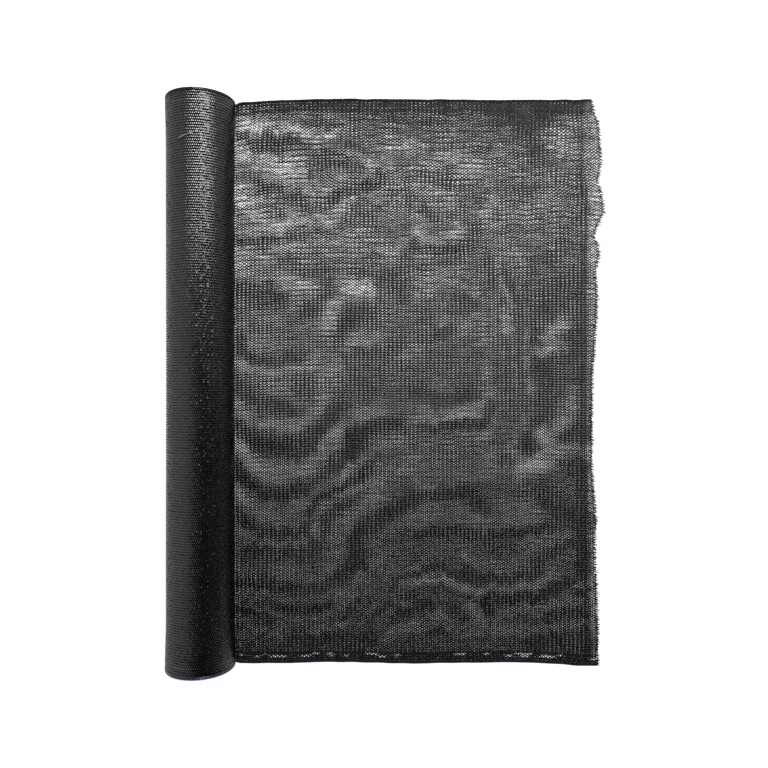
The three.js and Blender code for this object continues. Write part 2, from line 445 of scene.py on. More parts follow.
# Loose end
# The unrolled sheet, the same knit lying on the ground. It keeps low ripples from the roll, its stitch
# columns have spread towards one selvage, and it runs from under the roll to the cut.
sheet_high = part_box("loose_end")[1]
reach = cad_box[1].x
half_span = sheet_high.y
fray_depth = 0.013
free_start = axis_x + 0.017
free_end = reach - 0.012 - fray_depth
sheet_start = axis_x + 0.0125
sheet_courses = math.ceil((reach - sheet_start) / course)
sheet_steps = 2 * sheet_courses + 1
start_gap = 0.0008
start_clear = 0.0003
cloth_lift = 0.0014
least_lift = 0.1
crowding = 0.07
ripple_fade = 0.09
ripple_contact = 0.0004
free_of_roll = (0.022, 0.075)
free_of_cut = (0.036, 0.09)
free_of_selvage = (0.012, 0.04)
flare = {"upper": 0.018, "lower": 0.015}
flare_end = 0.06

# Millimetres by which the selvages and the cut fall short of the widest place, and the ripples as rise,
# half width, the shares of the way at which they start and end, and crest. Selvages and crests go in
# even steps from the roll to the cut.
selvage_lines = {
    "upper": [7.4, 1.7, 0, 0.9, 0.9, 1.7, 0.9],
    "lower": [4.1, 5, 6.6, 4.1, 5, 5.7, 0],
}
cut_short = {
    -459: 9, -390: 9, -270: 14, -222: 12, -130: 19, -60: 19, 10: 18, 60: 14, 140: 9, 179: 13, 205: 6,
    222: 8, 237: 16, 257: 8, 274: 0, 288: 0, 310: 3, 325: 9, 360: 3, 422: 8, 440: 16, 459: 19,
}
ripples = [
    (3.5, 18, 0, 0.42, [402, 388, 372, 366, 366, 366, 366]),
    (4.5, 20, 0, 0.5, [345, 318, 325, 352, 360, 360, 360]),
    (3.5, 20, 0, 0.36, [240, 250, 264, 272, 272, 272, 272]),
    (4, 20, 0.45, 0.68, [262, 262, 262, 238, 232, 256, 256]),
    (4.5, 20, 0.2, 0.4, [20, 30, 108, 132, 132, 132, 132]),
    (4, 20, 0, 0.28, [-58, -85, -60, -40, -40, -40, -40]),
    (6, 21, 0, 0.7, [-133, -165, -80, -52, -57, -60, -60]),
    (4, 18, 0, 0.5, [-205, -230, -143, -115, -110, -110, -110]),
    (6, 21, 0, 0.74, [-288, -320, -246, -183, -163, -168, -170]),
    (4, 19, 0.72, 0.94, [-150, -150, -150, -150, -152, -157, -140]),
    (4.5, 18, 0.36, 0.94, [-300, -300, -272, -232, -232, -231, -228]),
    (4, 16, 0, 0.95, [-350, -360, -346, -334, -345, -340, -322]),
]

# Fine creases as pull, half width and the x and y of each point, all but the pull in millimetres. A pull
# above 0 opens the stitches, a pull below 0 closes them.
creases = [
    (1.3, 9, -234, 413, -195, 413, -153, 408, -114, 403, -85, 401),
    (0.6, 9, -75, 408, -49, 408),
    (1, 14, -244, 370, -208, 354, -182, 348, -160, 357, -137, 357),
    (0.9, 9, -199, 331, -173, 335, -137, 336),
    (1, 14, -247, 312, -228, 276, -195, 254, -163, 257, -121, 262, -88, 271, -65, 291),
    (0.8, 9, -244, 247, -225, 242, -192, 247, -166, 257),
    (0.5, 9, -234, 213, -186, 213, -150, 218),
    (0.8, 11, -124, 309, -104, 312, -85, 320),
    (0.6, 9, -166, 317, -137, 315),
    (0.8, 7, -31, 353, -30, 331),
    (0.5, 9, -30, 356, -7, 354, 11, 341),
    (0.7, 11, -10, 372, 19, 380, 48, 388),
    (0.5, 7, -36, 286, -23, 306),
    (0.6, 9, -88, 374, -62, 369, -40, 359),
    (0.6, 11, -10, 215, 9, 213, 25, 224, 38, 237),
    (1.2, 20, -74, 150, -30, 150),
    (0.8, 14, -173, 159, -140, 156, -121, 153),
    (0.5, 14, -247, 195, -218, 176),
    (1.1, 11, 38, 270, 45, 244, 55, 224),
    (-0.7, 9, -228, 382, -192, 377, -150, 367, -114, 369, -75, 379, -46, 377),
    (-0.6, 9, -205, 393, -163, 395, -137, 383),
    (-0.5, 11, -228, 341, -208, 331),
    (-0.6, 7, -160, 344, -130, 344),
    (-0.9, 9, -212, 319, -179, 309, -153, 299, -137, 281, -117, 280, -88, 291),
    (-0.9, 11, -88, 302, -65, 309, -40, 315, -30, 328, -20, 335),
    (-0.6, 11, -121, 353, -82, 351, -46, 348),
    (-1, 9, -244, 229, -218, 224, -189, 226),
    (-0.5, 9, -169, 231, -143, 237, -121, 247),
    (-0.6, 9, -82, 262, -62, 273, -46, 286),
    (-0.7, 9, -36, 260, -23, 283),
    (-0.4, 11, -208, 278, -179, 276),
    (-0.5, 9, -244, 276, -231, 260),
    (-0.5, 9, 30, 328, 32, 280, 29, 239),
    (-0.6, 9, 38, 224, 25, 205, 21, 182, -10, 174, -62, 176),
    (-0.4, 14, -163, 195, -147, 179, -98, 182),
    (-0.6, 14, -247, 148, -208, 150, -176, 140),
    (-0.5, 14, -111, 153, -91, 156),
    (-0.5, 14, -10, 156, 9, 153),
    (0.9, 9, 81, 369, 107, 364, 139, 356),
    (1, 11, 107, 341, 126, 336),
    (0.6, 9, 64, 351, 81, 348),
    (0.4, 14, 64, 315, 87, 312),
    (1.1, 11, 81, 229, 100, 237, 110, 250),
    (0.8, 9, 152, 273, 162, 288, 178, 294),
    (0.4, 11, 175, 254, 194, 260),
    (0.9, 7, 173, 195, 178, 172, 186, 153, 197, 133),
    (0.7, 9, 42, 159, 81, 164, 113, 158, 139, 143),
    (1.2, 11, 253, 406, 272, 411),
    (1.3, 11, 277, 405, 293, 408, 305, 419),
    (0.8, 9, 259, 385, 279, 395),
    (0.6, 14, 272, 377, 301, 367),
    (0.9, 9, 232, 395, 236, 395),
    (0.5, 11, 249, 286, 272, 284),
    (0.4, 14, 248, 315, 254, 306),
    (0.6, 9, 212, 202, 219, 185),
    (0.4, 11, 181, 218, 194, 211),
    (0.4, 11, 155, 344, 175, 351),
    (-0.9, 16, 214, 422, 230, 403, 236, 374),
    (-0.8, 14, 251, 435, 275, 442),
    (-0.6, 11, 55, 341, 71, 331, 97, 331),
    (-1, 9, 48, 296, 56, 281, 68, 270),
    (-0.5, 9, 90, 322, 113, 320),
    (-0.7, 9, 142, 301, 155, 297),
    (-0.5, 11, 129, 234, 139, 260),
    (-0.9, 14, 97, 211, 116, 218),
    (-0.8, 7, 165, 189, 168, 163),
    (-0.7, 7, 183, 185, 191, 159, 201, 137),
    (-0.6, 11, 214, 312, 243, 315),
    (-0.6, 11, 227, 189, 230, 181),
    (-0.7, 14, 308, 169, 285, 159, 259, 156),
    (-0.5, 14, 262, 202, 282, 211),
    (-0.5, 9, 314, 426, 316, 296, 314, 133, 311, -29, 308, -159, 311, -288, 313, -418),
    (1.2, 16, -95, 130, -93, 111, -101, 93),
    (0.6, 14, -65, 62, -43, 65, -20, 69),
    (0.4, 11, -228, 59, -179, 59),
    (0.9, 9, -247, 33, -228, 18, -186, 20, -143, 25, -121, 34),
    (0.5, 7, -147, 43, -111, 54),
    (0.7, 18, -108, 7, -85, 20),
    (0.4, 18, -208, -9, -169, -3),
    (1, 11, -247, -32, -238, -48, -225, -65, -199, -68, -163, -69, -130, -63, -117, -45, -108, -21),
    (1, 14, -247, -94, -238, -116, -218, -138, -179, -144, -140, -141, -121, -123, -104, -100, -85, -84),
    (0.9, 14, -82, -68, -62, -53, -30, -47, -17, -48),
    (0.6, 14, -14, -97, 12, -94),
    (0.9, 9, -75, -155, -65, -139, -52, -126),
    (0.5, 14, -17, -142, 3, -131, 35, -131),
    (0.5, 11, 22, 36, 42, 46),
    (-0.7, 11, -140, 114, -117, 120),
    (-0.8, 16, -75, 98, -62, 112, -36, 114),
    (-0.5, 9, -77, 85, -80, 62),
    (-0.7, 9, -247, 72, -238, 49, -221, 34, -179, 33, -143, 39),
    (-0.5, 11, 16, 59, -17, 52, -69, 39),
    (-0.9, 11, -247, -6, -238, -19, -218, -32, -186, -32, -163, -45),
    (-0.5, 11, -147, -9, -127, 4),
    (-0.3, 18, -62, 4, -30, -9),
    (-1.1, 16, -247, -73, -231, -84, -212, -100, -173, -107,
        -137, -108, -126, -90, -111, -68, -95, -53, -75, -48),
    (-1.4, 14, -62, -84, -54, -97, -61, -116),
    (-0.9, 9, -46, -78, -17, -68, 12, -63),
    (-1, 11, -65, -120, -82, -131, -101, -147, -121, -168, -140, -175),
    (-1.3, 11, -251, -129, -241, -149, -225, -165, -205, -180, -169, -181, -143, -178),
    (-0.6, 9, -56, -155, -33, -142),
    (-0.4, 9, -23, -126, 3, -120),
    (-0.4, 11, -228, 133, -176, 130),
    (1.3, 14, 42, -60, 77, -58, 113, -52, 142, -45, 150, -29, 157, -13),
    (0.8, 14, 77, -6, 90, -11),
    (0.8, 9, 82, 103, 85, 99),
    (1.2, 9, 183, 114, 188, 88),
    (0.9, 9, 155, 9, 158, 26),
    (1.2, 14, 256, 69, 272, 88, 285, 99),
    (1.2, 11, 240, 44, 259, 57, 282, 60),
    (0.8, 9, 222, 36, 220, 13, 230, -9),
    (1.2, 16, 301, -19, 292, -42, 279, -58, 259, -74, 245, -84),
    (1.1, 14, 248, -94, 266, -105, 288, -113, 311, -113),
    (1.3, 18, 214, -139, 233, -131, 256, -129, 266, -142),
    (0.6, 9, 152, -87, 165, -68, 175, -52),
    (0.5, 9, 48, -81, 97, -84, 146, -84),
    (0.6, 11, 217, -68, 204, -94, 197, -110),
    (0.5, 14, 158, -120, 165, -146),
    (0.6, 7, 42, -167, 71, -165),
    (0.5, 14, 116, 88, 136, 98),
    (0.6, 9, 45, 138, 68, 143),
    (-1.1, 11, 42, -17, 74, -29, 90, -37, 113, -29, 139, -19),
    (-0.9, 9, 48, -73, 84, -74, 116, -69, 149, -63, 157, -42),
    (-0.6, 7, 81, 83, 97, 83),
    (-0.6, 11, 120, 137, 133, 130),
    (-0.9, 16, 233, 23, 246, 10, 262, 4),
    (-0.7, 14, 253, -39, 253, -55, 243, -69),
    (-1.3, 16, 227, -90, 225, -107, 220, -120),
    (-0.7, 7, 181, -128, 201, -128),
    (-0.8, 14, 285, -94, 301, -84, 314, -78),
    (-0.7, 14, 279, -136, 311, -129),
    (-0.8, 18, 249, 117, 275, 125),
    (-0.9, 11, 288, 43, 305, 62, 308, 85),
    (-0.7, 7, 236, 34, 269, 36),
    (-0.6, 9, 233, 85, 235, 65),
    (-0.5, 11, 249, -155, 272, -155),
    (-0.8, 9, 309, 17, 311, -22),
    (1, 14, -247, -175, -231, -188),
    (0.7, 20, -205, -211, -143, -217),
    (1, 11, -150, -198, -130, -181, -114, -168, -91, -159, -72, -146),
    (0.8, 9, -121, -240, -121, -214, -108, -196, -82, -185, -59, -172, -20, -165),
    (0.8, 9, -244, -240, -208, -256, -169, -259, -137, -254, -121, -243),
    (1, 16, -77, -276, -82, -256, -75, -233, -59, -211, -40, -194, -20, -185),
    (0.9, 16, -182, -311, -147, -316, -111, -310, -95, -288),
    (0.6, 14, -27, -259, -10, -243, 9, -230, 55, -224),
    (0.9, 9, -82, -363, -62, -334, -46, -314, -30, -295, -14, -280),
    (0.8, 9, -247, -292, -234, -308, -212, -311),
    (1, 9, -234, -340, -199, -344, -169, -350, -137, -350, -111, -344, -82, -340),
    (0.8, 7, -244, -353, -218, -365, -186, -373),
    (0.8, 9, -117, -384, -95, -375, -72, -358, -49, -340, -30, -340),
    (1.6, 7, -124, -405, -104, -400, -75, -392),
    (1.4, 7, -233, -399, -215, -404, -199, -407, -173, -413),
    (0.7, 9, -247, -379, -228, -389),
    (1.5, 9, -12, -418, 1, -409, 21, -400, 42, -396),
    (0.7, 7, -20, -386, -1, -373, 19, -362, 55, -353),
    (0.7, 7, -46, -386, -30, -368, -7, -353, 16, -344),
    (0.8, 9, -10, -310, 22, -308, 55, -300),
    (1.1, 7, 19, -327, 55, -323),
    (0.6, 11, -186, -384, -134, -386),
    (0.6, 7, -186, -396, -160, -399),
    (-1, 9, -129, -217, -134, -237, -153, -246, -186, -246, -215, -241, -234, -227, -247, -211),
    (-0.9, 7, -127, -211, -117, -188, -95, -178, -72, -168, -46, -155),
    (-0.8, 9, -113, -240, -101, -217, -82, -204, -65, -196, -46, -181),
    (-0.8, 11, -218, -269, -186, -280, -147, -279, -121, -266),
    (-1.1, 11, -215, -292, -202, -311, -186, -331, -147, -339,
        -114, -334, -91, -321, -69, -305, -43, -297),
    (-1.2, 14, -59, -282, -59, -256, -49, -240, -27, -230, -7, -214, 16, -204, 35, -198),
    (-0.6, 11, -238, -276, -225, -298),
    (-0.7, 9, -247, -324, -228, -327, -202, -334),
    (-0.8, 7, -238, -349, -208, -353, -179, -363, -140, -368, -95, -363),
    (-0.8, 7, -247, -366, -218, -376, -189, -386),
    (-0.9, 7, -251, -392, -234, -396),
    (-0.7, 7, -98, -386, -75, -378, -59, -360, -43, -337),
    (-0.7, 7, -33, -383, -17, -366, 6, -355, 32, -347),
    (-0.8, 7, 9, -383, 25, -370, 55, -363),
    (-0.8, 7, 9, -321, 32, -316, 55, -311),
    (-0.8, 11, -166, -418, -114, -418, -65, -422, -23, -418),
    (0.8, 16, 42, -204, 74, -201),
    (0.7, 14, 107, -207, 129, -224, 155, -232, 204, -227, 240, -219),
    (0.5, 14, 171, -201, 236, -204),
    (0.8, 11, 217, -264, 243, -253, 269, -246, 285, -248),
    (0.7, 14, 120, -285, 152, -298, 184, -308, 214, -298),
    (0.5, 7, 42, -301, 64, -293, 90, -298, 107, -311),
    (1.7, 7, 42, -323, 68, -316, 87, -319, 107, -326, 126, -332, 146, -339),
    (1, 9, 162, -334, 201, -336, 233, -329, 249, -316, 266, -305),
    (0.5, 9, 249, -292, 275, -282, 301, -276),
    (1, 11, 129, -360, 139, -376, 149, -386),
    (0.8, 7, 61, -373, 84, -375),
    (0.7, 9, 178, -383, 197, -371, 220, -363, 256, -363, 292, -357, 321, -350),
    (0.8, 7, 42, -399, 74, -389, 97, -399, 123, -405, 171, -405, 220, -404, 269, -397, 318, -388),
    (0.5, 7, 81, -381, 110, -389, 136, -399),
    (1, 9, 301, -331, 318, -326),
    (0.6, 11, 84, -347, 113, -347),
    (-0.9, 7, 42, -243, 74, -240, 100, -241, 126, -245, 152, -245, 194, -241, 236, -238, 262, -237),
    (-0.8, 11, 142, -199, 158, -204),
    (-0.6, 11, 42, -181, 81, -181, 129, -180),
    (-0.8, 20, 256, -194, 282, -211, 314, -224),
    (-0.5, 9, 95, -204, 98, -204),
    (-0.9, 9, 248, -288, 236, -306, 217, -316, 184, -319, 152, -316, 123, -301),
    (-1.1, 7, 42, -313, 61, -300, 77, -298, 94, -306, 113, -316, 142, -324),
    (-0.7, 7, 74, -332, 103, -337, 129, -344),
    (-1, 9, 158, -344, 194, -347, 227, -350, 249, -344, 269, -331, 295, -326),
    (-0.7, 9, 42, -365, 64, -360),
    (-0.7, 9, 152, -360, 162, -373),
    (-0.6, 7, 64, -402, 90, -404),
    (-0.6, 11, 262, -276, 292, -264, 314, -256),
    (-0.8, 11, 314, -276, 314, -308),
    (-0.5, 9, 256, -376, 301, -373),
    (-0.7, 7, 305, -340, 321, -340),
    (-0.4, 14, 162, -264, 184, -269),
    (-0.6, 9, 100, -360, 120, -376),
    (-0.7, 14, 227, -422, 275, -418, 324, -425),
    (1.2, 14, -238, 422, -205, 419),
    (0.7, 9, -173, 414, -143, 409),
    (0.6, 14, -189, 354, -166, 356),
    (-0.7, 6, -132, 361, -130, 335),
    (-0.8, 6, -35, 364, -10, 361),
    (0.8, 11, -62, 153, -36, 156),
    (-1.2, 9, -108, 138, -85, 142),
    (-0.8, 7, -22, 159, -18, 137),
    (-0.5, 9, -111, 413, -85, 411),
    (-0.6, 7, -65, 286, -56, 293),
    (1, 11, 269, 429, 298, 426),
    (0.7, 14, 279, 380, 301, 383),
    (-0.9, 9, 227, 419, 232, 380),
    (-0.6, 18, 178, 439, 251, 439),
    (0.8, 9, 40, 312, 47, 296),
    (-0.6, 5, 35, 280, 38, 237),
    (-0.7, 6, 48, 218, 90, 221),
    (0.6, 11, 102, 231, 110, 234),
    (0.5, 9, 56, 241, 68, 237),
    (-0.6, 7, 155, 215, 160, 195),
    (0.5, 6, 152, 133, 154, 98, 149, 60),
    (0.5, 6, 168, 140, 168, 98, 162, 59),
    (-0.5, 5, 173, 133, 176, 98),
    (-0.4, 5, 158, 127, 160, 69),
    (0.5, 6, 199, 85, 201, 33, 206, -16),
    (0.5, 6, 222, 85, 217, 49, 223, 23, 230, -16),
    (-0.4, 6, 210, 133, 210, 60, 212, -16),
    (-0.4, 5, 191, 60, 193, -16),
    (0.5, 7, 186, 52, 186, 26),
    (-0.5, 7, 155, -3, 162, -35),
    (-0.7, 7, 76, -9, 100, -22),
    (0.7, 9, 94, -58, 142, -55),
    (1.2, 16, 217, -129, 236, -139),
    (0.8, 9, 223, -81, 256, -78),
    (-0.6, 7, 251, -61, 257, -68),
    (-0.7, 7, 262, -142, 275, -136),
    (-0.7, 9, 279, 69, 292, 75),
    (-0.5, 7, 243, 62, 253, 62),
    (-0.6, 9, 295, 104, 311, 104),
    (0.4, 11, 279, -68, 308, -65),
]
crease_ends = 2
crease_edge = 2.5
field_step = 0.002
field_x = np.arange(-0.3, 0.352, field_step)
field_y = np.arange(-0.462, 0.463, field_step)
last_cell = 1.001
drift_share = 2.0e-6
noise_cells = 256
waver_least = 0.0006
waver_more = 0.0014
waver_heights = (0.1, 0.7)
waver_size = 0.02


def table_at(table, place):
    return np.interp(place, list(table), list(table.values()))


def smooth_at(values, place):
    """Value of an evenly stepped list at places from 0 to 1, on a smooth curve through its points."""
    values = np.asarray(values, float)
    last = len(values) - 1
    step = np.minimum((np.clip(place, 0, 1) * last).astype(int), last - 1)
    part = np.clip(place, 0, 1) * last - step
    before, start, end, after = (values[np.clip(step + shift, 0, last)] for shift in (-1, 0, 1, 2))
    start_slope = (end - before) / 2
    end_slope = (after - start) / 2
    bend = 2 * (start - end) + start_slope + end_slope
    curve = 3 * (end - start) - 2 * start_slope - end_slope
    return start + part * (start_slope + part * (curve + part * bend))


def last_stitch(y):
    return reach - table_at(cut_short, y * 1000) / 1000 - fray_depth


def along_share(x):
    """0 where the cloth comes free of the roll, 1 at the cut."""
    return (x - free_start) / (free_end - free_start)


def selvage_y(x, edge):
    drawn_in = 1 - smooth_step(along_share(x), 0, flare_end)
    return half_span - smooth_at(selvage_lines[edge], along_share(x)) / 1000 - flare[edge] * drawn_in


def across_y(x, share):
    """Y at a share of the way up from the lower selvage, towards which the stitch columns lie closer."""
    spread = share + crowding * (share * share - share)
    upper = selvage_y(x, "upper")
    lower = -selvage_y(x, "lower")
    return lower + (upper - lower) * spread


def ripple_height(x, y):
    """Height of the ripples, which die out towards the roll, the cut and the selvages."""
    share = along_share(x)
    height = 0
    for rise, half, start, end, crest in ripples:
        begun = smooth_step(share, start - ripple_fade, start + ripple_fade)
        ended = smooth_step(share, end - ripple_fade, end + ripple_fade)
        across = (y * 1000 - smooth_at(crest, share)) / half
        height = height + rise / 1000 * begun * (1 - ended) * np.exp(-across * across)
    from_selvage = np.minimum(selvage_y(x, "upper") - y, y + selvage_y(x, "lower"))
    free = smooth_step(x - axis_x, *free_of_roll)
    free = free * smooth_step(last_stitch(y) - x, *free_of_cut)
    free = free * smooth_step(from_selvage, *free_of_selvage)
    return np.maximum(0, height * free - ripple_contact)


def under_roll(x, y):
    """Height of the roll's underside over the ground."""
    aside = np.minimum(np.abs(x - axis_x), roll_radius(y))
    return axis_z - np.sqrt(roll_radius(y) ** 2 - aside ** 2)


def crease_field():
    """Pull of all the fine creases together, on an even grid over the sheet."""
    field = np.zeros((len(field_x), len(field_y)))
    for pull, half, *points in creases:
        points = np.reshape(points, (-1, 2)) / 1000
        half = half / 1000
        low = points.min(0) - crease_ends * half
        high = points.max(0) + crease_ends * half
        columns = slice(*np.searchsorted(field_x, (low[0], high[0])))
        rows = slice(*np.searchsorted(field_y, (low[1], high[1])))
        x = field_x[columns][:, None]
        y = field_y[rows][None, :]
        nearest = np.full((x.size, y.size), np.inf)
        for (x0, y0), (x1, y1) in zip(points[:-1], points[1:]):
            length = math.hypot(x1 - x0, y1 - y0)
            part = np.clip(((x - x0) * (x1 - x0) + (y - y0) * (y1 - y0)) / length ** 2, 0, 1)
            away = np.hypot(x - x0 - part * (x1 - x0), y - y0 - part * (y1 - y0))
            nearest = np.minimum(nearest, away)
        field[columns, rows] += pull * np.exp(-np.abs(nearest / half) ** crease_edge)
    return field


def between(grid, i, j, across, up):
    """Value between four neighbours of a grid."""
    near = grid[i, j] * (1 - up) + grid[i, j + 1] * up
    far = grid[i + 1, j] * (1 - up) + grid[i + 1, j + 1] * up
    return near * (1 - across) + far * across


def field_at(field, x, y):
    column = np.clip((x - field_x[0]) / field_step, 0, len(field_x) - last_cell)
    row = np.clip((y - field_y[0]) / field_step, 0, len(field_y) - last_cell)
    i = column.astype(int)
    j = row.astype(int)
    return between(field, i, j, column - i, row - j)


def soft_noise(column, row, seed):
    """Smooth random values from -1 to 1, with a new one at every whole number."""
    values = np.random.default_rng(seed).uniform(-1, 1, (noise_cells, noise_cells))
    column = column + noise_cells / 2
    row = row + noise_cells / 2
    i = np.floor(column).astype(int)
    j = np.floor(row).astype(int)
    across = smooth_step(column - i, 0, 1)
    up = smooth_step(row - j, 0, 1)
    return between(values, i % (noise_cells - 1), j % (noise_cells - 1), across, up)


pull_field = crease_field()
drift_x, drift_y = np.gradient(-pull_field, field_step)


def loose_place(along, wale, lift):
    """Points on the loose end, whose stitches waver, drift into the creases and follow the ripples."""
    x = sheet_start + along * course
    y = across_y(x, wale / (wales - 1))
    inside = 1 - selvage_share(wale)
    waver = waver_least + waver_more * smooth_step(y / half_span, *waver_heights) * inside
    spot = (x / waver_size, y / waver_size)
    shift_x = drift_share * field_at(drift_x, x, y) + waver * soft_noise(*spot, seed=35)
    y = y + drift_share * field_at(drift_y, x, y) + waver * soft_noise(*spot, seed=36)
    x = x + shift_x
    room = np.clip((under_roll(x, y) - start_clear) / cloth_lift, least_lift, 1)
    room = np.where(x > axis_x + end_radius, 1, room)
    z = ripple_height(x, y) + lift * room
    return np.stack([x, y, z], axis=-1)


# How open the stitches stand, and how far creases and strokes show in them, by the height from the lower
# selvage (-1) to the upper one (1). Uneven patches have their share at the lower selvage, and a size in
# metres, pairs of courses or stitch columns. All widths are in courses.
open_share = {-1: 0.222, -0.5: 0.275, -0.1: 0.345, 0: 0.357, 0.2: 0.408, 0.35: 0.43, 0.5: 0.485,
              0.6: 0.495, 0.78: 0.5, 1: 0.56}
open_slope = 0.44
open_slope_low = 0.14
open_middle = 0.06
crease_share = {-0.4: 0.52, 0: 1.1, 0.25: 1.1, 0.45: 0.6}
crease_opens = 0.5
crease_eases = 0.3
crease_closes = 0.75
crease_tight = (0.03, 0.45)
stroke_share = {-0.4: 0.06, 0: 0.16, 0.4: 0.15, 0.6: 0.12, 0.85: 0.05}
stroke_tight = 0.06
slim_heights = (0, 0.3)
slim_tight = 0.55
slim_stitch = 0.015
slim_halfway = 0.21
wide_stitch = 0.06
wide_halfway = 0.22
top_close = 0.19
top_band = (0.11, 0.01)
selvage_close = 0.2
selvage_close_low = 0.5
fray_root = {-459: 325, -330: 322, 0: 316, 150: 316, 230: 319, 290: 321, 330: 313, 459: 312}
fray_blend = 0.001
tight_band = (0.006, 0.004)
fray_tight = 0.12
fray_slack = 0.08
fray_slack_up = 0.14
gap_rows = [{"wale": 2, "open": 0.3, "seed": 14}, {"wale": 3, "open": 0.28, "seed": 15}]
gap_length = 0.012
gap_limits = (0.3, 0.5)
tape_uneven = 0.03
uneven_up = 0.05
uneven_heights = (0, 0.7)
half_limits = (0.1, 0.97)
bow_tight = 0.11
bow_up = 0.03
crease_shift = {"most": 0.006, "low": 1, "size": (1, 0.05), "seed": 31}
wale_patch = {"most": 0.22, "low": 0.25, "size": (0.02, 1), "seed": 33}
stroke_patch = {"most": 0.16, "low": 0.25, "size": (0.03, 0.03), "seed": 5}
stroke_pair = {"most": 0.14, "low": 0.3, "size": (1, 0.02), "seed": 32}
stagger_patch = {"most": 0.25, "low": 1, "size": (0.03, 0.03), "seed": 37}
bow_patch = {"most": 0.1, "low": 0, "size": (0.018, 0.018), "seed": 34}


def grown(low, upper):
    """Grows from a low share at the lower selvage to 1 at the upper one."""
    return low + (1 - low) * upper


def patchy(patch, along, across, upper):
    noise = soft_noise(along / patch["size"][0], across / patch["size"][1], patch["seed"])
    return patch["most"] * grown(patch["low"], upper) * noise


def crease_pull(x, y, pair, upper):
    """Pull of the creases, which each pair of courses takes up a little higher or lower."""
    shift = patchy(crease_shift, pair, y, upper)
    return field_at(pull_field, x, y + shift) * table_at(crease_share, y / half_span)


def stitch_opening(x, y, wale, upper, pull):
    """Share of a course that stands open between two passes of a tape."""
    slope = open_slope * upper - open_slope_low
    opening = table_at(open_share, y / half_span) + slope * (open_middle - x)
    opened = 1 + crease_opens * pull / (1 + crease_eases * np.abs(pull))
    opening = opening * np.where(pull > 0, opened, np.exp(crease_closes * pull))
    return opening * (1 + patchy(wale_patch, x, np.floor(wale), upper))


def halfway_width(x, y, along, wale, upper, tight):
    """How much slimmer or wider a tape is halfway between its stitches than at them."""
    halfway = 1 - np.abs(np.cos(np.pi * along))
    slim = smooth_step(-y / half_span, *slim_heights) * (1 - slim_tight * tight)
    staggered = np.where(np.floor(wale) % 2 > 0, 1, -1) * patchy(stagger_patch, x, y, upper)
    wide = upper * ((wide_halfway + staggered) * halfway - wide_stitch)
    return slim * (slim_stitch - slim_halfway * halfway) + wide


def stroke_width(x, y, pair, upper, tight):
    """How much every second pass of a tape is wider, which shows as short strokes."""
    strokes = table_at(stroke_share, y / half_span) + patchy(stroke_patch, x, y, upper)
    return strokes + patchy(stroke_pair, pair, y, upper) + stroke_tight * tight


def gap_row(x, wale, row):
    """1 in the short open stretches of one row of gaps beside the lower selvage."""
    here = np.abs(wale - row["wale"] - 0.5) < 0.5
    return here * smooth_step(soft_noise(x / gap_length, 0 * x, row["seed"]), *gap_limits)


def loose_width(along, wale):
    """Half width of the loose end's tapes, and how far they bow."""
    place = loose_place(along, wale, 0 * along)
    x = place[..., 0]
    y = place[..., 1]
    upper = 0.5 + 0.5 * y / half_span
    pair = np.floor(along / 2)
    pull = crease_pull(x, y, pair, upper)
    tight = smooth_step(-pull, *crease_tight)
    root = table_at(fray_root, y * 1000) / 1000
    loosened = smooth_step(x, root - fray_blend, root + fray_blend)
    drawn_tight = smooth_step(x, root - tight_band[0], root - tight_band[1]) * (1 - loosened)
    width = 1 - stitch_opening(x, y, wale, upper, pull)
    width = width + halfway_width(x, y, along, wale, upper, tight)
    width = width + top_close * smooth_step(y, half_span - top_band[0], half_span - top_band[1])
    width = width + selvage_close * grown(selvage_close_low, upper) * selvage_share(wale)
    width = width - (fray_slack + fray_slack_up * upper) * loosened + fray_tight * drawn_tight
    for row in gap_rows:
        width = width - row["open"] * gap_row(x, wale, row)
    uneven = tape_uneven + uneven_up * smooth_step(y / half_span, *uneven_heights)
    width = width + uneven * draw.normal(0, 1, width.shape)
    strokes = (1 - loosened) * stroke_width(x, y, pair, upper, tight) * np.cos(np.pi * along)
    bow = bow_tight * tight + bow_up * upper + patchy(bow_patch, x, y, upper)
    return np.clip(width - strokes, *half_limits), bow * (1 - loosened)


def kept_stitches(points, faces, margin=0):
    """Faces that lie between the start under the roll and the cut."""
    middle = points[faces].mean(axis=1)
    after_start = under_roll(middle[:, 0], middle[:, 1]) > start_gap
    after_start = after_start | (middle[:, 0] > axis_x + end_radius)
    before_cut = middle[:, 0] < last_stitch(middle[:, 1]) + margin
    return faces[after_start & before_cut]


loose_swing = {0.4: 0.98, 0.5: 0.945}
loose_arch = 0.0002
loose_tilt = 0.00008
laid_black = yarn_material("laid_black", dark=(0.003, 0.003, 0.0033), light=(0.0055, 0.0055, 0.006),
                           smooth=0.5, rough=0.65, shine=0.15)
swing = table_at(loose_swing, np.arange(gaps) / gaps)[:, None]
tilt = loose_tilt * draw.normal(0, 1, (gaps, sheet_steps))
along, wale, lift = tape_grid(sheet_courses, swing, loose_width, loose_arch, tilt)
tape_points = loose_place(along, wale, lift).reshape(-1, 3)
all_tapes = strip_faces(gaps, sheet_steps)
faces = kept_stitches(tape_points, all_tapes)
loose_tapes = new_piece("loose_tapes", tape_points, faces, laid_black, tape_points[:, :2])
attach(loose_tapes, "root")
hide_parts("loose_end")

